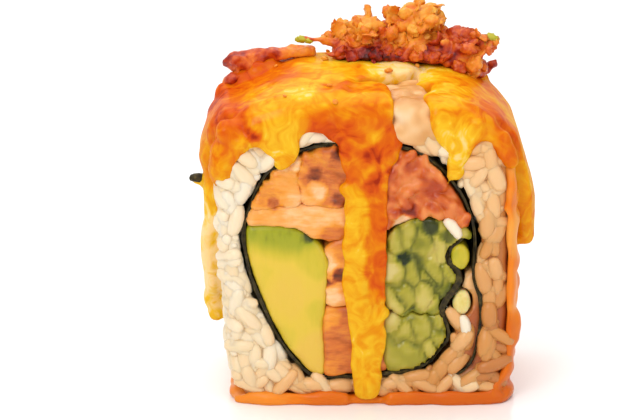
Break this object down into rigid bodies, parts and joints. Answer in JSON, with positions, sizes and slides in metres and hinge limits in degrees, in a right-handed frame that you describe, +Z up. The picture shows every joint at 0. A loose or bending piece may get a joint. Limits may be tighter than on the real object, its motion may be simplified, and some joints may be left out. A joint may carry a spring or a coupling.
{
  "type": "uramaki roll",
  "caption": "Piece of inside-out sushi roll with rice outside, nori spiral, avocado, cucumber, salmon and crab filling, yellow and orange sauce and fried crumbs on top.",
  "frame": {"origin": "on the flat base of the sauce that the roll stands in, under the middle of the piece", "axes": "+X to the right on the front cut, +Y from the front cut to the back one, +Z up"},
  "size_m": [0.0493, 0.0283, 0.0541],
  "materials": {
    "cooked_rice": "moist",
    "nori": "matte",
    "avocado": "moist",
    "avocado_rim": "moist",
    "cucumber": "wet",
    "cucumber_stained": "wet",
    "pickled_radish": "wet",
    "salmon": "moist",
    "crab_stick": "moist",
    "shrimp": "moist",
    "crab_mix": "moist",
    "yellow_sauce": "glossy",
    "orange_sauce": "glossy",
    "fried_crumbs": "crisp",
    "fried_shallot": "crisp",
    "chilli": "dry"
  },
  "bodies": {
    "root": {"rice": "cooked_rice", "nori": "nori", "avocado": "avocado", "avocado_sliver": "avocado_rim", "cucumber": "cucumber", "cucumber_lower": "cucumber_stained", "radish_sliver": "pickled_radish", "salmon_left": "salmon", "salmon_right": "salmon", "salmon_strip": "salmon", "crab_stick": "crab_stick", "shrimp": "shrimp", "crab_mix": "crab_mix", "orange_coat": "orange_sauce", "orange_run": "orange_sauce", "orange_shoulder": "orange_sauce", "yellow_left": "yellow_sauce", "yellow_right": "yellow_sauce", "yellow_stripe": "yellow_sauce", "crisps": "fried_crumbs", "shallot_strip": "fried_shallot", "chilli_flake": "chilli"}
  },
  "joints": []
}
